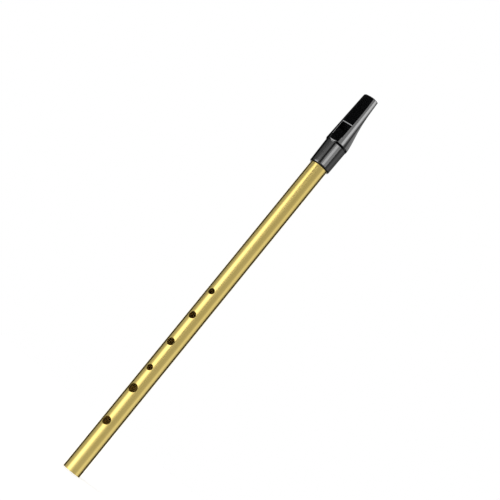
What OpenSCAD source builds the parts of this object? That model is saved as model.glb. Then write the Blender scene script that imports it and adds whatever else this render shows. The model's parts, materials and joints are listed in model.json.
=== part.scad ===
// Tin whistle (high D): brass tube with six finger holes, and a moulded
// mouthpiece head that is pushed on it and slides a little for tuning.
// Frame: origin at the centre of the tube's foot, +Z up the tube to the
// mouthpiece's tip, finger holes and window facing -Y. Millimetres.

/* [Tube] */
// Outer diameter of the brass tube
tube_od = 12.7; // [10:0.1:16]
// Wall of the brass tube
tube_wall = 0.5; // [0.3:0.05:0.8]
// Length of the brass tube, with the part inside the head
tube_len = 264; // [215:1:330]
// Chamfer that deburrs the tube's two ends
tube_chamfer = 0.12; // [0.05:0.01:0.2]

/* [Finger holes] */
// Height of the lowest hole's centre above the foot
hole_6_z = 38.0; // [30:0.1:48]
// Diameter of the lowest hole
hole_6_d = 5.8; // [4:0.1:7]
// Height of the second hole from the foot
hole_5_z = 63.7; // [56:0.1:70]
// Diameter of the second hole from the foot
hole_5_d = 6.1; // [4:0.1:7.4]
// Height of the third hole from the foot
hole_4_z = 80.1; // [76:0.1:86]
// Diameter of the third hole from the foot
hole_4_d = 4.3; // [3:0.1:5.5]
// Height of the fourth hole from the foot
hole_3_z = 100.8; // [94:0.1:108]
// Diameter of the fourth hole from the foot
hole_3_d = 5.2; // [4:0.1:6.5]
// Height of the fifth hole from the foot
hole_2_z = 122.3; // [115:0.1:129]
// Diameter of the fifth hole from the foot
hole_2_d = 4.9; // [4:0.1:6.2]
// Height of the highest hole's centre above the foot
hole_1_z = 141.4; // [136:0.1:165]
// Diameter of the highest hole
hole_1_d = 4.3; // [3:0.1:5.5]

/* [Socket] */
// Length of the tube's end that the head's socket takes in
socket_depth = 15.9; // [12:0.1:20]
// Gap between the tube and the socket, all round
slide_clearance = 0.05; // [0.01:0.01:0.1]
// Wall of the socket at its mouth
mouth_wall = 1.1; // [0.8:0.1:1.6]
// Wall of the socket at the step
socket_wall = 1.5; // [1.2:0.1:2.2]
// Chamfer inside the socket's mouth, which leads the tube in
lead_in = 0.25; // [0.1:0.05:0.4]
// Length of the shoulder that stops the tube, up to the step
shoulder_len = 1.8; // [1.5:0.1:4]
// Distance that the shoulder's rim stands inside the tube's bore
shoulder_rim = 0.2; // [0.1:0.05:0.4]
// Distance the head can be pulled out for tuning
tuning_travel = 10; // [5:0.5:12]

/* [Beak] */
// Height of the raised step round the front of the head
step_rise = 0.7; // [0.3:0.1:1]
// Sharp lip at the foot of that step
step_lip = 0.12; // [0.05:0.01:0.2]
// Length of the slope from the lip up to the full step
step_len = 1.2; // [0.6:0.1:2]
// Loss of radius from the step to the tip
beak_taper = 1.6; // [0.5:0.1:2]
// Depth of the flat front facet at the step, below the round
facet_cut = 0.4; // [0.3:0.05:0.8]
// Depth of the flat front facet at the tip, below the round
facet_cut_tip = 0.8; // [0.5:0.1:1.2]
// Hollow of the front facet, halfway along the beak
facet_hollow = 0.45; // [0:0.05:0.6]
// Depth of the beak's side edge below the facet, at the step
edge_drop = 4.8; // [4:0.1:5.5]
// Depth of the beak's side edge below the facet, at the tip
edge_drop_tip = 2.75; // [2.3:0.05:3.2]
// Thickness left under the windway at the tip
tip_floor = 1.15; // [0.8:0.05:1.4]
// Radius of the tip's bowed end, seen from the front
tip_bow_r = 30; // [20:1:60]

/* [Window and windway] */
// Distance from the tube's end to the windway's exit
chamber_len = 17.1; // [15:0.1:21]
// Length of the windway, from the tip to its exit
windway_len = 23.9; // [20:0.1:28]
// Width of the windway and of the window
windway_w = 7.8; // [6:0.1:8.6]
// Height of the windway
windway_h = 1.05; // [0.8:0.05:1.3]
// Thickness of the windway's roof at the tip
roof_tip = 1.1; // [0.8:0.05:1.3]
// Thickness of the windway's roof at its exit
roof_exit = 1.5; // [1.1:0.05:1.8]
// Distance across the window, from the windway's exit to the blade
window_len = 4.9; // [4:0.1:6]
// Length of the ramp that comes down to the blade
ramp_len = 7.2; // [5:0.1:8]
// Radius of the corners at the ramp's foot
ramp_corner = 2.2; // [1:0.1:3]
// Thickness of the blade's edge
blade_t = 0.3; // [0.2:0.05:0.5]

/* [Fipple block] */
// Width of the block, which is wider than the windway
block_w = 9.4; // [8.8:0.1:10]
// Gap round the block, closed by glue
block_gap = 0.0; // [0:0.01:0.05]
// Distance by which the block's face leans back over the bore
face_lean = 8.6; // [7:0.1:10]

/* [Hidden] */
$fn = 96;

// Tube
tube_r = tube_od / 2;
bore_r = tube_r - tube_wall;
head_bore_r = bore_r - shoulder_rim;
finger_holes = [[hole_6_z, hole_6_d], [hole_5_z, hole_5_d], [hole_4_z, hole_4_d],
                [hole_3_z, hole_3_d], [hole_2_z, hole_2_d], [hole_1_z, hole_1_d]];

// Heights of the head's features above the foot
mouth_z = tube_len - socket_depth;
step_z = tube_len + shoulder_len;
exit_z = tube_len + chamber_len;
tip_z = exit_z + windway_len;
blade_z = exit_z - window_len;
ramp_z = blade_z - ramp_len;
face_back_z = exit_z - face_lean;

// Radii of the head
socket_r = tube_r + slide_clearance;
mouth_r = socket_r + mouth_wall;
socket_top_r = socket_r + socket_wall;
step_r = socket_top_r + step_rise;
tip_r = step_r - beak_taper;
// The step fades out to this at the back of the head
back_rise = 0.15;
// How far the underside's curve stops short of the tip
keel_end = 2;

// Distances in front of the tube's axis, for a share u of the way to the tip
function mix(low, high, u) = low + (high - low) * u;
function ease(u) = let (v = min(1, max(0, u))) v * v * (3 - 2 * v);
function share(z) = (z - step_z) / (tip_z - step_z);
function risen(z) = min(1, max(0, (z - step_z) / step_len));
function round_r(z) = mix(socket_top_r + step_lip, mix(step_r, tip_r, share(z)), risen(z));
function hollow(u) = 4 * facet_hollow * u * (1 - u);
function full_facet_a(z) = mix(step_r - facet_cut, tip_r - facet_cut_tip, share(z)) - hollow(share(z));
function facet_a(z) = mix(socket_top_r + step_lip / 2, full_facet_a(z), risen(z));
function edge_a(z) = mix(step_r - facet_cut - edge_drop, tip_r - facet_cut_tip - edge_drop_tip, share(z));
windway_tip_a = facet_a(tip_z) - roof_tip - windway_h;
windway_exit_a = facet_a(exit_z) - roof_exit - windway_h;
keel_tip_a = windway_tip_a - tip_floor;
function keel_a(z) = mix(-socket_top_r - back_rise, keel_tip_a,
                         ease((z - step_z) / (tip_z - keel_end - step_z)));
blade_a = windway_exit_a + windway_h / 2;

// Half of the beak's outline at height z, as [sideways, forwards] points:
// the flat facet, the round side down to the edge, and the keel under it.
// The keel goes over from the full round, at the step, to a shallow ellipse.
facet_steps = 3;
side_steps = 6;
keel_steps = 9;
beak_rings = 20;
// The outline runs on past the tip, for the tip's bow to be cut from it
tip_spare = 0.8;
function half_outline(z) =
    let (r = round_r(z), f = facet_a(z), e = edge_a(z), depth = e - keel_a(z),
         turn_f = acos(f / r), turn_e = acos(e / r),
         fullness = depth / (e + r), roundness = pow(fullness, 4))
    concat(
        [for (i = [0:facet_steps - 1]) [r * sin(turn_f) * i / facet_steps, f]],
        [for (i = [0:side_steps]) let (q = mix(turn_f, turn_e, i / side_steps)) [r * sin(q), r * cos(q)]],
        [for (i = [1:keel_steps]) let (t = i / keel_steps, q = mix(turn_e, 180, t))
            [mix(r * sin(turn_e) * cos(90 * t), r * sin(q), roundness),
             e - mix(depth * sin(90 * t), (e - r * cos(q)) * fullness, roundness)]]);
function ring(z) =
    let (half = half_outline(z), last = len(half) - 1)
    concat([for (p = half) [p[0], -p[1], z]],
           [for (i = [last - 1:-1:1]) [-half[i][0], -half[i][1], z]]);
ring_heights = concat([step_z],
    [for (i = [0:beak_rings]) mix(step_z + step_len, tip_z + tip_spare, i / beak_rings)]);

// A slab across the whole head, from points of [height, distance in front of the axis]
module side_slab(points, width) {
    rotate([90, 0, 90])
        translate([0, 0, -width / 2])
            linear_extrude(width) polygon([for (p = points) [-p[1], p[0]]]);
}

// Solid beak, with its bowed tip
module beak_solid() {
    count = len(ring(step_z));
    layers = len(ring_heights);
    // The two ends are fans from the keel's lowest point
    keel = count / 2;
    intersection() {
        polyhedron(
            points = [for (z = ring_heights) each ring(z)],
            faces = concat(
                [for (i = [1:count - 2]) [keel, (keel + i) % count, (keel + i + 1) % count]],
                [for (j = [0:layers - 2], i = [0:count - 1])
                    [j * count + i, (j + 1) * count + i, (j + 1) * count + (i + 1) % count]],
                [for (j = [0:layers - 2], i = [0:count - 1])
                    [j * count + i, (j + 1) * count + (i + 1) % count, j * count + (i + 1) % count]],
                [for (i = [1:count - 2])
                    [for (k = [keel + i + 1, keel + i, keel]) (layers - 1) * count + k % count]]),
            convexity = 4);
        translate([0, 0, tip_z - tip_bow_r])
            rotate([90, 0, 0])
                cylinder(h = 4 * step_r, r = tip_bow_r, center = true, $fn = 180);
    }
}

// Height on the block's leaning face, or in line with it, at distance a in front of the axis
function face_z(a) = mix(face_back_z, exit_z, (a + head_bore_r) / (windway_exit_a + head_bore_r));
function windway_floor_a(z) = mix(windway_exit_a, windway_tip_a, (z - exit_z) / windway_len);

// Space beyond the block's leaning face, below the windway's floor
module block_side(overlap) {
    far_z = tip_z + tip_spare + 1;
    side_slab([[exit_z - overlap, windway_floor_a(exit_z - overlap)],
               [face_z(-2 * step_r) - overlap, -2 * step_r],
               [far_z, -2 * step_r], [far_z, windway_floor_a(far_z)]],
              4 * step_r);
}

// U-shaped column that the block fills: round at the back, straight at its sides
module block_column(half_w) {
    translate([0, 0, face_back_z - step_r])
        linear_extrude(tip_z - face_back_z + 2 * step_r)
            polygon(concat([[-half_w, -step_r], [half_w, -step_r]],
                           [for (i = [0:16]) half_w * [cos(180 * i / 16), sin(180 * i / 16)]]));
}

// Bore inside the head, from the tube's end to the block's leaning face. It loses
// its round front under the ramp, so that the blade's edge is straight.
module chamber() {
    under_blade = blade_a - blade_t;
    roof_slope = (head_bore_r - under_blade) / (blade_z - step_z);
    window_middle = (blade_z + exit_z) / 2;
    near_lip = windway_exit_a - windway_h;
    intersection() {
        translate([0, 0, tube_len - 1]) cylinder(h = chamber_len + 3, r = head_bore_r);
        side_slab([[tube_len - 2, 2 * head_bore_r], [step_z - 1, 2 * head_bore_r],
                   [step_z - 1, head_bore_r + roof_slope], [blade_z, under_blade],
                   [window_middle, under_blade], [face_z(near_lip), near_lip],
                   [face_z(-2 * head_bore_r), -2 * head_bore_r], [tube_len - 2, -2 * head_bore_r]],
                  4 * head_bore_r);
    }
}

// Window and the ramp before it, with round corners at the ramp's foot
module window() {
    half = windway_w / 2;
    arc = [for (i = [0:10]) 9 * i];
    intersection() {
        side_slab([[ramp_z, facet_a(ramp_z)], [blade_z, blade_a], [blade_z, 0], [exit_z, 0],
                   [exit_z, 2 * step_r], [ramp_z, 2 * step_r]], windway_w);
        rotate([90, 0, 0])
            linear_extrude(2 * step_r)
                polygon(concat(
                    [[half, exit_z + 1], [-half, exit_z + 1]],
                    [for (q = arc) [-half + ramp_corner * (1 - cos(q)), ramp_z + ramp_corner * (1 - sin(q))]],
                    [for (q = arc) [half - ramp_corner * (1 - sin(q)), ramp_z + ramp_corner * (1 - cos(q))]]));
    }
}

// Flat slot that the breath goes through. Its floor is the block, so it is cut a
// little way into the block's space.
module windway() {
    into_window = exit_z - window_len / 4;
    far_z = tip_z + tip_spare + 1;
    into_block = windway_h / 4;
    side_slab([[into_window, windway_floor_a(into_window) - into_block],
               [into_window, windway_floor_a(into_window) + windway_h],
               [far_z, windway_floor_a(far_z) + windway_h],
               [far_z, windway_floor_a(far_z) - into_block]],
              windway_w);
}

module tube() {
    color([0.80, 0.69, 0.37])
        difference() {
            rotate_extrude($fn = 128)
                polygon([[bore_r, tube_chamfer], [bore_r + tube_chamfer, 0], [tube_r - tube_chamfer, 0],
                         [tube_r, tube_chamfer], [tube_r, tube_len - tube_chamfer],
                         [tube_r - tube_chamfer, tube_len], [bore_r + tube_chamfer, tube_len],
                         [bore_r, tube_len - tube_chamfer]]);
            for (hole = finger_holes)
                translate([0, 0, hole[0]])
                    rotate([90, 0, 0])
                        cylinder(h = 2 * tube_r, d = hole[1], $fn = 64);
        }
}

// Round hole that the tube goes into, with its lead-in
module socket_bore() {
    rotate_extrude($fn = 128)
        polygon([[0, mouth_z - 1], [socket_r + lead_in + 1, mouth_z - 1],
                 [socket_r, mouth_z + lead_in], [socket_r, tube_len], [0, tube_len]]);
}

module head_shell() {
    color([0.07, 0.07, 0.075])
        difference() {
            union() {
                translate([0, 0, mouth_z])
                    cylinder(h = step_z - mouth_z, r1 = mouth_r, r2 = socket_top_r);
                beak_solid();
            }
            socket_bore();
            chamber();
            window();
            windway();
            intersection() {
                block_side(0.01);
                block_column(block_w / 2);
            }
        }
}

module fipple_block() {
    color([0.09, 0.09, 0.095])
        intersection() {
            beak_solid();
            block_side(0);
            block_column(block_w / 2 - block_gap);
        }
}

tube();
head_shell();
fipple_block();
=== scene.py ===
import json
import math

import bpy
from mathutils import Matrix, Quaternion, Vector


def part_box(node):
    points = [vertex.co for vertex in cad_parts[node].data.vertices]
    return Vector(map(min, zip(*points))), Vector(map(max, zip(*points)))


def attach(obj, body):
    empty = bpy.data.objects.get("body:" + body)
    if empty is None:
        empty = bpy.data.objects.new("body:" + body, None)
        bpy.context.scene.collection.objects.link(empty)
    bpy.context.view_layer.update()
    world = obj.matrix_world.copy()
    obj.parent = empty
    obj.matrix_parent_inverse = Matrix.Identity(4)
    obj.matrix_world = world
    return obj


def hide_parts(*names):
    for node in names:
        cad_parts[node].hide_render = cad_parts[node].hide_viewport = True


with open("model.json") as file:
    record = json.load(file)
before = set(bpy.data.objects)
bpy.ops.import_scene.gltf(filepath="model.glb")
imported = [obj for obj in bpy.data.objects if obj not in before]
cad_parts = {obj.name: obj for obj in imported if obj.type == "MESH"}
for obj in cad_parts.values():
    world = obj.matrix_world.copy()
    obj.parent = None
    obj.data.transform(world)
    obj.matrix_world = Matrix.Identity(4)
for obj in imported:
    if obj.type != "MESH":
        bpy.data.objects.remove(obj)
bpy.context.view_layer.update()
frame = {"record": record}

mm = 0.001


# ---------------------------------------------------------------- brass tube
# A plain half-inch tube of thin drawn brass, cut square at both ends. The six
# finger holes are drilled through its front wall, and their rims and the ends
# are lightly rounded so that they don't cut the fingers.

tube_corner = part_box("tube")[1]
tube_r = tube_corner.x
tube_len = tube_corner.z
mounts = {m["name"]: m for m in frame["record"]["mounts"]}
bore_r = mounts["foot_bore"]["dims"]["r_mm"] * mm
tube_sides = 160
# Height above the foot and diameter of each hole, from the lowest up
finger_holes = [(38.0, 5.8), (63.7, 6.1), (80.1, 4.3), (100.8, 5.2), (122.3, 4.9), (141.4, 4.3)]
hole_sides = 48
rim_round = 0.11 * mm


def start_piece():
    """Leaves nothing selected, so that an operator acts on the new piece alone."""
    bpy.ops.object.select_all(action="DESELECT")


def settle(name):
    """Names the new object and puts its place into its mesh."""
    piece = bpy.context.active_object
    piece.name = name
    piece.data.name = name
    bpy.ops.object.transform_apply(location=True, rotation=True, scale=True)
    return piece


def apply_modifier(piece, kind, **settings):
    """Gives the piece one modifier with these settings, and applies it."""
    bpy.context.view_layer.objects.active = piece
    modifier = piece.modifiers.new(kind.lower(), kind)
    for setting, value in settings.items():
        setattr(modifier, setting, value)
    bpy.ops.object.modifier_apply(modifier=modifier.name)


def cut(piece, tool, operation="DIFFERENCE"):
    """Cuts piece with tool, or keeps what they share, and throws the tool away."""
    apply_modifier(piece, "BOOLEAN", object=tool, operation=operation, solver="EXACT")
    bpy.data.objects.remove(tool)


start_piece()
bpy.ops.mesh.primitive_cylinder_add(vertices=tube_sides, radius=tube_r, depth=tube_len,
                                    end_fill_type="NOTHING", location=(0, 0, tube_len / 2))
tube = settle("whistle_tube")
apply_modifier(tube, "SOLIDIFY", thickness=tube_r - bore_r, offset=-1, use_even_offset=True)
for height, width in finger_holes:
    start_piece()
    bpy.ops.mesh.primitive_cylinder_add(vertices=hole_sides, radius=width * mm / 2, depth=2 * tube_r,
                                        location=(0, -tube_r, height * mm),
                                        rotation=(math.radians(90), 0, 0))
    cut(tube, settle("drill"))
apply_modifier(tube, "BEVEL", width=rim_round, segments=3, limit_method="ANGLE",
               angle_limit=math.radians(40), use_clamp_overlap=False)
tube.data.shade_smooth()
apply_modifier(tube, "WEIGHTED_NORMAL", mode="FACE_AREA", weight=80, keep_sharp=False)

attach(tube, "tube")
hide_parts("tube")


def new_material(name):
    """An empty node material, with its Principled shader and its object coordinates."""
    material = bpy.data.materials.new(name)
    material.use_nodes = True
    nodes = material.node_tree.nodes
    where = nodes.new("ShaderNodeTexCoord")
    return material, nodes["Principled BSDF"], where.outputs["Object"]


def stretched(material, coordinates, scale):
    """The coordinates, scaled along X, Y and Z."""
    mapping = material.node_tree.nodes.new("ShaderNodeMapping")
    mapping.inputs["Scale"].default_value = scale
    material.node_tree.links.new(coordinates, mapping.inputs["Vector"])
    return mapping.outputs["Vector"]


def noise(material, coordinates, scale, detail, roughness=0.55):
    """A cloudy pattern with about this many spots to the metre."""
    node = material.node_tree.nodes.new("ShaderNodeTexNoise")
    node.inputs["Scale"].default_value = scale
    node.inputs["Detail"].default_value = detail
    node.inputs["Roughness"].default_value = roughness
    material.node_tree.links.new(coordinates, node.inputs["Vector"])
    return node.outputs["Fac"]


def spread(material, value, low, high, from_low=0.3, from_high=0.7):
    """Turns a noise into values from low to high."""
    node = material.node_tree.nodes.new("ShaderNodeMapRange")
    node.inputs["From Min"].default_value = from_low
    node.inputs["From Max"].default_value = from_high
    node.inputs["To Min"].default_value = low
    node.inputs["To Max"].default_value = high
    material.node_tree.links.new(value, node.inputs["Value"])
    return node.outputs["Result"]


def blend_colours(material, share, low, high):
    """A colour between low and high, as the share goes from 0 to 1."""
    node = material.node_tree.nodes.new("ShaderNodeMix")
    node.data_type = "RGBA"
    node.inputs["A"].default_value = (*low, 1)
    node.inputs["B"].default_value = (*high, 1)
    material.node_tree.links.new(share, node.inputs["Factor"])
    return node.outputs["Result"]


def bumped(material, shader, height, distance, strength):
    """Makes the surface look raised by the distance where the height is 1."""
    node = material.node_tree.nodes.new("ShaderNodeBump")
    node.inputs["Distance"].default_value = distance
    node.inputs["Strength"].default_value = strength
    material.node_tree.links.new(height, node.inputs["Height"])
    material.node_tree.links.new(node.outputs["Normal"], shader.inputs["Normal"])


def drawn_brass():
    """Satin brass: fine lines along the tube from drawing, and a faint, cloudy tarnish."""
    material, shader, where = new_material("drawn_brass")
    links = material.node_tree.links
    tarnished, clean = (0.83, 0.635, 0.19), (0.89, 0.69, 0.23)
    lines = noise(material, stretched(material, where, (1, 1, 0.012)), scale=5200, detail=2)
    clouds = noise(material, stretched(material, where, (1, 1, 0.35)), scale=95, detail=4)
    colour = blend_colours(material, spread(material, clouds, 0, 1), tarnished, clean)
    links.new(colour, shader.inputs["Base Color"])
    links.new(spread(material, lines, 0.20, 0.27), shader.inputs["Roughness"])
    bumped(material, shader, lines, distance=0.001 * mm, strength=0.12)
    shader.inputs["Metallic"].default_value = 1.0
    shader.inputs["Coat Weight"].default_value = 0.25
    shader.inputs["Coat Roughness"].default_value = 0.18
    return material


def raw_bore():
    """The inside of the tube, never polished and browned by breath and handling."""
    material, shader, where = new_material("raw_bore")
    links = material.node_tree.links
    browned, bare = (0.50, 0.345, 0.085), (0.72, 0.53, 0.17)
    stains = noise(material, stretched(material, where, (1, 1, 0.3)), scale=240, detail=4)
    colour = blend_colours(material, spread(material, stains, 0, 1), browned, bare)
    links.new(colour, shader.inputs["Base Color"])
    links.new(spread(material, stains, 0.62, 0.48), shader.inputs["Roughness"])
    shader.inputs["Metallic"].default_value = 0.45
    return material


tube.data.materials.clear()
tube.data.materials.append(drawn_brass())
tube.data.materials.append(raw_bore())
# The bore's faces lie on its radius and look towards the axis
bore_slack = 0.02 * mm
for face in tube.data.polygons:
    outwards = face.normal.x * face.center.x + face.normal.y * face.center.y
    if math.hypot(face.center.x, face.center.y) < bore_r + bore_slack and outwards < 0:
        face.material_index = 1


# ---------------------------------------------------------------- head shell
# The mouthpiece, one moulding of glossy black plastic: a socket that slips on
# the tube, a raised step, and a beak with the window, its ramp and blade, and
# the flat windway. Its outline is lofted, and the passages are cut out of it.

head_low, head_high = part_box("head_shell")
mouth_z = head_low.z
tip_z = head_high.z
# The socket, from its mouth up to the step
slide_clearance = 0.05 * mm
mouth_wall = 1.1 * mm
socket_wall = 1.5 * mm
lead_in = 0.25 * mm
mouth_round = 0.75 * mm
shoulder_len = 1.8 * mm
shoulder_rim = 0.2 * mm
socket_r = tube_r + slide_clearance
mouth_r = socket_r + mouth_wall
socket_top_r = socket_r + socket_wall
head_bore_r = bore_r - shoulder_rim
# The step, and the beak's round flanks
step_z = tube_len + shoulder_len
step_len = 1.2 * mm
step_lip = 0.12 * mm
step_rise = 0.7 * mm
beak_taper = 1.6 * mm
step_r = socket_top_r + step_rise
tip_r = step_r - beak_taper
# How far the front facet and the side edge lie in front of the tube's axis
facet_cut, facet_cut_tip = 0.4 * mm, 0.8 * mm
edge_drop, edge_drop_tip = 4.8 * mm, 2.75 * mm
facet_hollow = 0.45 * mm
facet_step_a = step_r - facet_cut
facet_tip_a = tip_r - facet_cut_tip
edge_step_a = facet_step_a - edge_drop
edge_tip_a = facet_tip_a - edge_drop_tip
# The passages: the chamber above the tube, the window, its ramp and the windway
chamber_len = 17.1 * mm
window_len = 4.9 * mm
ramp_len = 7.2 * mm
exit_z = tube_len + chamber_len
blade_z = exit_z - window_len
ramp_z = blade_z - ramp_len
ramp_corner = 2.2 * mm
blade_t = 0.3 * mm
windway_w = 7.8 * mm
windway_h = 1.05 * mm
roof_tip, roof_exit = 1.1 * mm, 1.5 * mm
# The bevels of the window's upper edge and of its sides
slope_len = 0.55 * mm
slope_drop = 0.125 * mm
rim_cut = 0.15 * mm
# The tip's bow, and how far the form runs on before the bow is cut
tip_bow_r = 30 * mm
tip_round = 0.3 * mm
bow_start_z = tip_z - 5 * mm
past_tip = 0.8 * mm
# The pocket for the block
block_w = 9.4 * mm
face_lean = 8.6 * mm


def mix(low, high, share):
    """A value from low, at share 0, to high, at share 1."""
    return low + (high - low) * share


def ease(share):
    """The share, with a soft start and end."""
    share = min(1, max(0, share))
    return share * share * (3 - 2 * share)


def along_beak(z):
    """0 at the step and 1 at the tip."""
    return (z - step_z) / (tip_z - step_z)


def facet_a(z):
    """How far the full front facet is in front of the axis, past the step's slope."""
    share = along_beak(z)
    return mix(facet_step_a, facet_tip_a, share) - 4 * facet_hollow * share * (1 - share)


windway_tip_a = facet_a(tip_z) - roof_tip - windway_h
windway_exit_a = facet_a(exit_z) - roof_exit - windway_h
blade_a = windway_exit_a + windway_h / 2
# The keel is the beak's rounded underside
back_rise = 0.15 * mm
tip_floor = 1.15 * mm
keel_step_a = -socket_top_r - back_rise
keel_tip_a = windway_tip_a - tip_floor
keel_end_z = tip_z - 2 * mm
# Where the outline's points lie along half of the facet, along a flank, and along half of the keel
facet_shares = [0, 0.3, 0.6]
side_shares = [0.1 * i for i in range(1, 10)]
keel_shares = [i / 24 for i in range(1, 24)]
corner_hold = 0.35 * mm


def half_outline(z):
    """Points (sideways, forwards) from the middle of the facet round to the keel."""
    share = along_beak(z)
    risen = min(1, max(0, (z - step_z) / step_len))
    r = mix(socket_top_r + step_lip, mix(step_r, tip_r, share), risen)
    facet = mix(socket_top_r + step_lip / 2, facet_a(z), risen)
    edge = mix(edge_step_a, edge_tip_a, share)
    depth = edge - mix(keel_step_a, keel_tip_a, ease((z - step_z) / (keel_end_z - step_z)))
    turn_facet = math.acos(facet / r)
    turn_edge = math.acos(edge / r)
    fullness = depth / (edge + r)
    roundness = fullness ** 4

    def on_facet(share):
        return r * math.sin(turn_facet) * share, facet

    def on_side(share):
        turn = mix(turn_facet, turn_edge, share)
        return r * math.sin(turn), r * math.cos(turn)

    def on_keel(share):
        turn = mix(turn_edge, math.pi, share)
        quarter = math.pi / 2 * share
        shallow = (r * math.sin(turn_edge) * math.cos(quarter), depth * math.sin(quarter))
        full = (r * math.sin(turn), (edge - r * math.cos(turn)) * fullness)
        return mix(shallow[0], full[0], roundness), edge - mix(shallow[1], full[1], roundness)

    # Points close to each corner keep its rounding small once the form is subdivided
    facet_hold = min(0.3, corner_hold / (r * math.sin(turn_facet)))
    side_hold = min(0.08, corner_hold / (r * (turn_edge - turn_facet)))
    keel_hold = 0.025
    points = [on_facet(share) for share in facet_shares + [1 - facet_hold]]
    points += [on_side(share) for share in [0, side_hold] + side_shares + [1 - side_hold]]
    points += [on_keel(share) for share in [0, keel_hold] + keel_shares + [1]]
    return points


def outline(z):
    """The whole closed outline at height z, in the piece's X and Y."""
    half = half_outline(z)
    right = [(side, -front) for side, front in half]
    left = [(-side, -front) for side, front in reversed(half[1:-1])]
    return right + left


def socket_ring(r):
    """A circle whose points stand at the same turns as the step's."""
    turns = [math.atan2(x, -y) for x, y in outline(step_z + step_len)]
    return [(r * math.sin(turn), -r * math.cos(turn)) for turn in turns]


def drawn_in(points, distance):
    """The outline shrunk about its middle, so that each side comes in by the distance."""
    front, back = min(y for x, y in points), max(y for x, y in points)
    half_width, half_depth = max(x for x, y in points), (back - front) / 2
    middle = (back + front) / 2
    return [(x * (1 - distance / half_width), middle + (y - middle) * (1 - distance / half_depth))
            for x, y in points]


def tip_drop(x):
    """How far the bowed tip lies below its middle."""
    return tip_bow_r - math.sqrt(tip_bow_r ** 2 - x ** 2)


def head_rings():
    """Height, outline and share of the tip's bow of each ring, from the mouth to past the tip."""
    rings = []
    # The mouth's rim is a quarter circle
    mouth_steps, beak_steps, tip_steps = 6, 38, 4
    for i in range(mouth_steps):
        turn = math.pi / 2 * i / mouth_steps
        rings.append((mouth_z + mouth_round * (1 - math.cos(turn)),
                      socket_ring(mouth_r - mouth_round * (1 - math.sin(turn))), 0))
    for share in [0.05, 0.1, 0.3, 0.5, 0.7, 0.9, 0.97, 1]:
        rings.append((mix(mouth_z, step_z, share), socket_ring(mix(mouth_r, socket_top_r, share)), 0))
    # The lip, the slope up to the beak's full size, and the beak
    lip_edge = 0.03 * mm
    rings.append((step_z + lip_edge, outline(step_z), 0))
    for share in [0.12, 0.5, 0.85, 1, 1.2]:
        rings.append((step_z + share * step_len, outline(step_z + share * step_len), 0))
    for i in range(1, beak_steps + 1):
        z = mix(step_z + 1.2 * step_len, tip_z - tip_round, i / beak_steps)
        rings.append((z, outline(z), ease((z - bow_start_z) / (tip_z - bow_start_z))))
    # The tip's edge is a quarter circle too, and then the form runs on past the tip
    for i in range(1, tip_steps + 1):
        turn = math.pi / 2 * i / tip_steps
        z = tip_z - tip_round * (1 - math.sin(turn))
        rings.append((z, drawn_in(outline(z), tip_round * (1 - math.cos(turn))), 1))
    rings.append((tip_z + past_tip, drawn_in(outline(tip_z), tip_round), 0))
    return rings


def edit_whole(piece):
    """Opens the piece in edit mode, with all of it selected."""
    start_piece()
    piece.select_set(True)
    bpy.context.view_layer.objects.active = piece
    bpy.ops.object.mode_set(mode="EDIT")
    bpy.ops.mesh.select_all(action="SELECT")


# The loft starts as a circle that is extruded once for each ring, and then each
# ring's points go to their places on its outline
rings = head_rings()
columns = len(rings[0][1])
start_piece()
bpy.ops.mesh.primitive_circle_add(vertices=columns, radius=mouth_r, fill_type="NOTHING",
                                  location=(0, 0, mouth_z))
head_form = settle("head_form")
bpy.ops.object.mode_set(mode="EDIT")
bpy.ops.mesh.select_all(action="SELECT")
for low, high in zip(rings, rings[1:]):
    bpy.ops.mesh.extrude_region_move(TRANSFORM_OT_translate={"value": (0, 0, high[0] - low[0])})
bpy.ops.object.mode_set(mode="OBJECT")
for vertex in head_form.data.vertices:
    turn = math.atan2(vertex.co.x, -vertex.co.y)
    column = round(turn / (2 * math.pi) * columns) % columns
    _, points, bow = min(rings, key=lambda ring: abs(ring[0] - vertex.co.z))
    vertex.co.x, vertex.co.y = points[column]
    vertex.co.z -= bow * tip_drop(vertex.co.x)
apply_modifier(head_form, "SUBSURF", levels=1, render_levels=1)
edit_whole(head_form)
bpy.ops.mesh.fill_holes(sides=0)
bpy.ops.mesh.select_all(action="SELECT")
bpy.ops.mesh.normals_make_consistent(inside=False)
bpy.ops.object.mode_set(mode="OBJECT")

# The tip is cut to a shallow bow
start_piece()
bpy.ops.mesh.primitive_cylinder_add(vertices=720, radius=tip_bow_r, depth=4 * step_r,
                                    location=(0, 0, tip_z - tip_bow_r),
                                    rotation=(math.radians(90), 0, 0))
cut(head_form, settle("tip_bow"), "INTERSECT")


def box_tool(name, low, high):
    """A box from its lowest to its highest corner, to cut with."""
    start_piece()
    middle = (Vector(low) + Vector(high)) / 2
    bpy.ops.mesh.primitive_cube_add(size=1, location=middle)
    bpy.context.active_object.scale = Vector(high) - Vector(low)
    return settle(name)


def slice_off(piece, point, outward):
    """Cuts away what lies beyond a plane, and closes the cut."""
    edit_whole(piece)
    bpy.ops.mesh.bisect(plane_co=point, plane_no=outward, use_fill=True, clear_outer=True)
    bpy.ops.object.mode_set(mode="OBJECT")


def round_edges(piece, is_chosen, width, segments):
    """Bevels the edges whose two ends the test chooses."""
    weights = piece.data.attributes.new("bevel_weight_edge", "FLOAT", "EDGE")
    for edge in piece.data.edges:
        if is_chosen(*[piece.data.vertices[i].co for i in edge.vertices]):
            weights.data[edge.index].value = 1
    apply_modifier(piece, "BEVEL", width=width, segments=segments, limit_method="WEIGHT",
                   use_clamp_overlap=False)


def slope_normal(low, high):
    """The normal, turned towards the front, of a plane through two points (z, a) of the side view."""
    rise, run = high[1] - low[1], high[0] - low[0]
    return Vector((0, -run, -rise)).normalized()


def windway_floor(z):
    """How far the windway's floor is in front of the axis."""
    return mix(windway_exit_a, windway_tip_a, (z - exit_z) / (tip_z - exit_z))


# Tools run on past what they cut by a few of these steps
overshoot = 1 * mm
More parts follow.
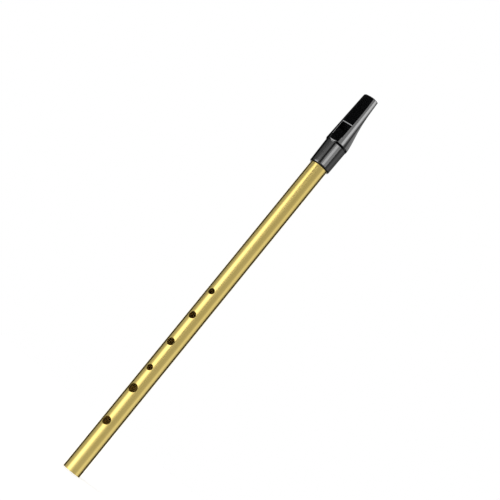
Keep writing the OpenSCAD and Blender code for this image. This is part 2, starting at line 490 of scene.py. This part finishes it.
# Points closer than this are at one place
same_place = 1e-6
floor_normal = slope_normal((exit_z, windway_exit_a), (tip_z, windway_tip_a))
lip_point = (0, -windway_exit_a, exit_z)
face_normal = slope_normal((exit_z - face_lean, -head_bore_r), (exit_z, windway_exit_a))


def block_column(name, overlap, gap):
    """The U-shaped space of the block: under the windway's floor, beyond its leaning face."""
    half = block_w / 2 - gap
    column = box_tool(name, (-half, -step_r, tube_len), (half, half, tip_z + 3 * overshoot))

    def upright_at_the_back(one, other):
        return one.y > 0 and other.y > 0 and abs(one.x - other.x) < same_place and one.z != other.z

    # Just short of a half circle, so that the two roundings don't meet
    round_edges(column, upright_at_the_back, width=half * 0.999, segments=24)
    slice_off(column, lip_point, floor_normal)
    slice_off(column, Vector(lip_point) - Vector((0, 0, overlap)), face_normal)
    return column


# The block is the part of the same form that fills this column
block = head_form.copy()
block.data = head_form.data.copy()
bpy.context.scene.collection.objects.link(block)
block.name = "fipple_plug"
block.data.name = "fipple_plug"

shell = head_form
shell.name = "mouthpiece_head"
shell.data.name = "mouthpiece_head"

start_piece()
bpy.ops.mesh.primitive_cylinder_add(vertices=tube_sides, radius=socket_r,
                                    depth=tube_len - mouth_z + 5 * overshoot,
                                    location=(0, 0, (tube_len + mouth_z - 5 * overshoot) / 2))
cut(shell, settle("socket_tool"))
# The socket's mouth opens at 45 degrees, to lead the tube in
start_piece()
bpy.ops.mesh.primitive_cone_add(vertices=tube_sides, radius1=socket_r + 2 * lead_in,
                                radius2=socket_r - lead_in, depth=3 * lead_in,
                                location=(0, 0, mouth_z + lead_in / 2))
cut(shell, settle("lead_tool"))

# The chamber runs on as the tube's bore, under the ramp and up to the block's leaning face
start_piece()
chamber_end = exit_z + 4 * overshoot
bpy.ops.mesh.primitive_cylinder_add(vertices=tube_sides, radius=head_bore_r,
                                    depth=chamber_end - tube_len + 2 * overshoot,
                                    location=(0, 0, (chamber_end + tube_len - 2 * overshoot) / 2))
chamber = settle("chamber_tool")
under_blade = blade_a - blade_t
under_ramp_normal = slope_normal((step_z, head_bore_r), (blade_z, under_blade))
slice_off(chamber, (0, -under_blade, blade_z), under_ramp_normal)
slice_off(chamber, lip_point, -face_normal)
cut(shell, chamber)


def along_the_ramp_foot(one, other):
    at_foot = abs(one.z - ramp_z) < same_place and abs(other.z - ramp_z) < same_place
    return at_foot and abs(one.y - other.y) > same_place


# Ramp: a box whose floor comes down from the facet to the blade, with round corners at its foot
half_way = windway_w / 2
ramp = box_tool("ramp_tool", (-half_way, -2 * step_r, ramp_z), (half_way, -blade_a, blade_z))
round_edges(ramp, along_the_ramp_foot, width=ramp_corner, segments=10)
for vertex in ramp.data.vertices:
    if vertex.co.y > -step_r:
        vertex.co.y = -mix(facet_a(ramp_z), blade_a, (vertex.co.z - ramp_z) / (blade_z - ramp_z))
cut(shell, ramp)
cut(shell, box_tool("window_tool", (-half_way, -2 * step_r, blade_z), (half_way, 0, exit_z)))

# The roof's front edge slopes down to the window over its whole width
slope_low_z, slope_top_z = exit_z - 0.5 * mm, exit_z + slope_len
roof_slope = box_tool("slope_tool", (-step_r, -2 * step_r, slope_low_z), (step_r, -blade_a, slope_top_z))
for vertex in roof_slope.data.vertices:
    if vertex.co.y > -1.5 * step_r:
        vertex.co.y = slope_drop * (slope_top_z - vertex.co.z) / slope_len - facet_a(slope_top_z)
cut(shell, roof_slope)


def finish_moulding(piece):
    """Merges points that the cuts left almost in one place, and shades it smooth between its edges."""
    edit_whole(piece)
    bpy.ops.mesh.remove_doubles(threshold=0.004 * mm)
    bpy.ops.mesh.normals_make_consistent(inside=False)
    bpy.ops.object.mode_set(mode="OBJECT")
    bpy.ops.object.shade_smooth_by_angle(angle=math.radians(32))


def edge_bar(name, low, high, size):
    """A square bar turned on its corner, which takes the edge from one point to another off."""
    start_piece()
    low, high = Vector(low), Vector(high)
    turn = (high - low).to_track_quat("Z", "Y").to_euler()
    bpy.ops.mesh.primitive_cylinder_add(vertices=4, radius=size, depth=(high - low).length,
                                        location=(low + high) / 2, rotation=turn)
    return settle(name)


def side_a(x, z):
    """How far the round flank is in front of the axis."""
    return math.sqrt(mix(step_r, tip_r, along_beak(z)) ** 2 - x ** 2)


rim_low_z = ramp_z + 1.2 * mm
for side in (-half_way, half_way):
    cut(shell, edge_bar("rim_tool", (side, -side_a(side, rim_low_z), rim_low_z),
                        (side, -side_a(side, exit_z), exit_z), rim_cut))

# The windway is a box whose two wide sides then move to the roof, and to a little below the
# floor, which the block makes
windway = box_tool("windway_tool", (-half_way, -1, exit_z - overshoot),
                   (half_way, 1, tip_z + 2 * overshoot))
for vertex in windway.data.vertices:
    roof = vertex.co.y < 0
    vertex.co.y = -windway_floor(vertex.co.z) - (windway_h if roof else -windway_h / 4)
cut(shell, windway)
cut(shell, block_column("pocket_tool", overlap=0.02 * mm, gap=0))
finish_moulding(shell)

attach(shell, "head")
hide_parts("head_shell")


def moulded_black(name, tone, finish):
    """Glossy black plastic with the faint ripple of moulding and fine handling marks."""
    material, shader, where = new_material(name)
    links = material.node_tree.links
    ripple = noise(material, where, scale=420, detail=2)
    marks = noise(material, stretched(material, where, (1, 1, 0.2)), scale=2600, detail=4, roughness=0.7)
    lighter = [channel * 1.5 for channel in tone]
    colour = blend_colours(material, spread(material, ripple, 0, 1), tone, lighter)
    links.new(colour, shader.inputs["Base Color"])
    links.new(spread(material, marks, finish, finish + 0.07, 0.4, 0.8), shader.inputs["Roughness"])
    bumped(material, shader, ripple, distance=0.01 * mm, strength=0.35)
    shader.inputs["IOR"].default_value = 1.49
    return material


shell.data.materials.clear()
shell.data.materials.append(moulded_black("head_black", tone=(0.001, 0.001, 0.0011), finish=0.08))


# -------------------------------------------------------------- fipple block
# The plug that is glued into the beak from the tip. Its flat top is the floor
# of the windway, its leaning face closes the bore, and its rounded back shows
# on the underside of the beak, between two fine joint lines.

cut(block, block_column("block_tool", overlap=0, gap=0.05 * mm), "INTERSECT")
finish_moulding(block)

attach(block, "head")
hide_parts("fipple_block")

block.data.materials.clear()
block.data.materials.append(moulded_black("block_black", tone=(0.003, 0.003, 0.0032), finish=0.14))


# ------------------------------------------------------------ floor and light
# A plain white floor under the foot, in a studio with a bright wall on the left,
# a weaker one on the right and a dark flag beyond each. Small lamps light the
# black head alone, and two black cards leave it dark between its highlights.


def matte_paint(name, tone, roughness, glow):
    """Paint without any gloss, which may shine a little by itself."""
    material, shader, _ = new_material(name)
    shader.inputs["Base Color"].default_value = (tone, tone, tone, 1)
    shader.inputs["Roughness"].default_value = roughness
    shader.inputs["Specular IOR Level"].default_value = 0
    shader.inputs["Emission Color"].default_value = (1, 1, 1, 1)
    shader.inputs["Emission Strength"].default_value = glow
    return material


start_piece()
bpy.ops.mesh.primitive_plane_add(size=12, location=(0, 0, 0))
floor = settle("floor")
floor.data.materials.append(matte_paint("floor_white", tone=0.9, roughness=0.9, glow=0.45))
# The brass and the plastic mirror the studio below it instead, and the glow there passes it
floor.visible_glossy = False
floor.visible_shadow = False

# The viewer stands this many degrees to the right of the holes
viewer_turn = 30
# Brightness of the studio's walls, by the turn in degrees to the right of the viewer
studio_walls = [(-180, 1.4), (-160, 1.2), (-148, 0.0), (-118, 0.0), (-108, 0.45), (-74, 0.48),
                (-50, 1.9), (-34, 1.9), (-12, 0.78), (8, 0.45), (50, 0.5), (72, 0.92),
                (98, 0.7), (110, 0.1), (118, 0.0), (146, 0.0), (160, 1.2), (180, 1.4)]

world = bpy.data.worlds.new("studio")
bpy.context.scene.world = world
world.use_nodes = True
background = world.node_tree.nodes["Background"]


def studio_node(kind, **settings):
    node = world.node_tree.nodes.new("ShaderNode" + kind)
    for setting, value in settings.items():
        setattr(node, setting, value)
    return node


def studio_link(output, target):
    world.node_tree.links.new(output, target)


# The direction of a ray, turned so that the viewer is in front, and its turn from there
direction = studio_node("TexCoord")
turned = studio_node("VectorRotate", rotation_type="Z_AXIS")
turned.inputs["Angle"].default_value = math.radians(-viewer_turn)
studio_link(direction.outputs["Generated"], turned.inputs["Vector"])
parts = studio_node("SeparateXYZ")
studio_link(turned.outputs["Vector"], parts.inputs["Vector"])
forwards = studio_node("Math", operation="MULTIPLY")
forwards.inputs[1].default_value = -1
studio_link(parts.outputs["Y"], forwards.inputs[0])
ray_turn = studio_node("Math", operation="ARCTAN2")
studio_link(parts.outputs["X"], ray_turn.inputs[0])
studio_link(forwards.outputs["Value"], ray_turn.inputs[1])
wall_place = studio_node("MapRange")
wall_place.inputs["From Min"].default_value = -math.pi
wall_place.inputs["From Max"].default_value = math.pi
studio_link(ray_turn.outputs["Value"], wall_place.inputs["Value"])
walls = studio_node("ValToRGB")
brightest = max(value for angle, value in studio_walls)
while len(walls.color_ramp.elements) < len(studio_walls):
    walls.color_ramp.elements.new(0.5)
for element, (angle, value) in zip(walls.color_ramp.elements, studio_walls):
    element.position = (angle + 180) / 360
    element.color = [value / brightest] * 3 + [1]
studio_link(wall_place.outputs["Result"], walls.inputs["Fac"])
# Below the level of the floor the walls fade to black
depth = studio_node("MapRange", interpolation_type="SMOOTHSTEP")
depth.inputs["From Min"].default_value = -0.5
depth.inputs["From Max"].default_value = -0.2
studio_link(parts.outputs["Z"], depth.inputs["Value"])
dimmed = studio_node("Mix", data_type="RGBA")
dimmed.inputs["A"].default_value = (0, 0, 0, 1)
studio_link(depth.outputs["Result"], dimmed.inputs["Factor"])
studio_link(walls.outputs["Color"], dimmed.inputs["B"])
# The camera itself sees plain white behind the object
rays = studio_node("LightPath")
seen = studio_node("Mix", data_type="RGBA")
seen.inputs["B"].default_value = [1 / brightest] * 3 + [1]
studio_link(rays.outputs["Is Camera Ray"], seen.inputs["Factor"])
studio_link(dimmed.outputs["Result"], seen.inputs["A"])
studio_link(seen.outputs["Result"], background.inputs["Color"])
background.inputs["Strength"].default_value = brightest

# Lamps and cards stand at this distance, and the lamps look at this height of the whistle
stand_off = 0.6
lamp_aim_z = 280 * mm


def soft_lamp(name, turn, distance, height, width, tall, radiance, receivers):
    """An even rectangular lamp that lights only the receivers; turn is in degrees from the viewer."""
    data = bpy.data.lights.new(name, "AREA")
    data.shape = "RECTANGLE"
    data.size = width
    data.size_y = tall
    # An area lamp of this power shines with the wanted radiance
    data.energy = radiance * math.pi * width * tall
    lamp = bpy.data.objects.new(name, data)
    bpy.context.scene.collection.objects.link(lamp)
    bearing = math.radians(viewer_turn + turn)
    lamp.location = (distance * math.sin(bearing), -distance * math.cos(bearing), height)
    aim = Vector((0, 0, lamp_aim_z)) - lamp.location
    lamp.rotation_mode = "QUATERNION"
    lamp.rotation_quaternion = aim.to_track_quat("-Z", "Y")
    lamp.visible_camera = False
    group = bpy.data.collections.new(name + "_receivers")
    for piece in receivers:
        group.objects.link(piece)
    lamp.light_linking.receiver_collection = group


# Name, turn, height, width, tallness and radiance
head_lamps = [
    # The long highlights down the right of the socket and of the beak
    ("socket_wide", 21, 0.374, 0.72, 0.075, 4.3),
    ("socket_core", 14, 0.374, 0.24, 0.075, 5.5),
    ("beak_wide", 24, 0.515, 0.74, 0.18, 3.5),
    ("beak_core", 35, 0.515, 0.23, 0.18, 7.5),
    # A weak glow on both flanks
    ("left_flank", -80, 0.374, 0.37, 0.10, 0.42),
    ("right_flank", 105, 0.374, 0.70, 0.10, 0.5),
    ("beak_flank", 113, 0.49, 0.56, 0.12, 1.7),
    # A glint on the step and on the roof's sloped edge
    ("step_glint", -60, 0.285, 0.40, 0.14, 8.0),
    ("roof_glint", -60, 0.15, 0.30, 0.10, 0.4),
]
for name, turn, height, width, tall, radiance in head_lamps:
    soft_lamp(name, turn, stand_off, height, width, tall, radiance, [shell, block])

# Seen from above, the brass mirrors this pale glow from below the floor
soft_lamp("floor_glow", turn=0, distance=0, height=-0.35, width=2.4, tall=2.4, radiance=0.65,
          receivers=[tube])

card_black = matte_paint("card_black", tone=0, roughness=1, glow=0)


def dark_card(name, turn, low, high, width):
    """An upright black card outside the view, which the glossy head mirrors as a dark patch."""
    bearing = math.radians(viewer_turn + turn)
    start_piece()
    bpy.ops.mesh.primitive_plane_add(size=1, rotation=(math.radians(90), 0, bearing),
                                     location=(stand_off * math.sin(bearing),
                                               -stand_off * math.cos(bearing), (low + high) / 2))
    bpy.context.active_object.scale = (width, high - low, 1)
    card = settle(name)
    card.data.materials.append(card_black)
    card.visible_camera = False
    card.visible_shadow = False
    card.visible_diffuse = False


dark_card("socket_card", turn=-27, low=0.34, high=0.42, width=0.13)
dark_card("facet_card", turn=-48, low=0.425, high=1.5, width=1.05)

bpy.context.scene.view_settings.view_transform = "Standard"


# --------------------------------------------------------------------- camera
# The viewer stands to the right of the holes, at about the lowest one's height,
# and looks up along the whistle with the camera rolled to one side.

camera_distance = 900 * mm
camera_height = 41.6 * mm
# The middle of the view lies just to the left of the tube's axis
aim_z = 178 * mm
aim_left = 0.64 * mm
roll = math.radians(39.13)
viewer_bearing = math.radians(viewer_turn)
camera_data = bpy.data.cameras.new("camera")
camera = bpy.data.objects.new("camera", camera_data)
bpy.context.scene.collection.objects.link(camera)
camera.location = (camera_distance * math.sin(viewer_bearing),
                   -camera_distance * math.cos(viewer_bearing), camera_height)
aim = Vector((-aim_left * math.cos(viewer_bearing), -aim_left * math.sin(viewer_bearing), aim_z))
look = aim - camera.location
camera.rotation_mode = "QUATERNION"
# Rolled so that the tube leans over to the right in the picture
camera.rotation_quaternion = look.to_track_quat("-Z", "Y") @ Quaternion((0, 0, 1), roll)
camera_data.sensor_width = 36
camera_data.lens = 102.85
camera_data.clip_start = 0.01
camera_data.clip_end = 50
bpy.context.scene.camera = camera
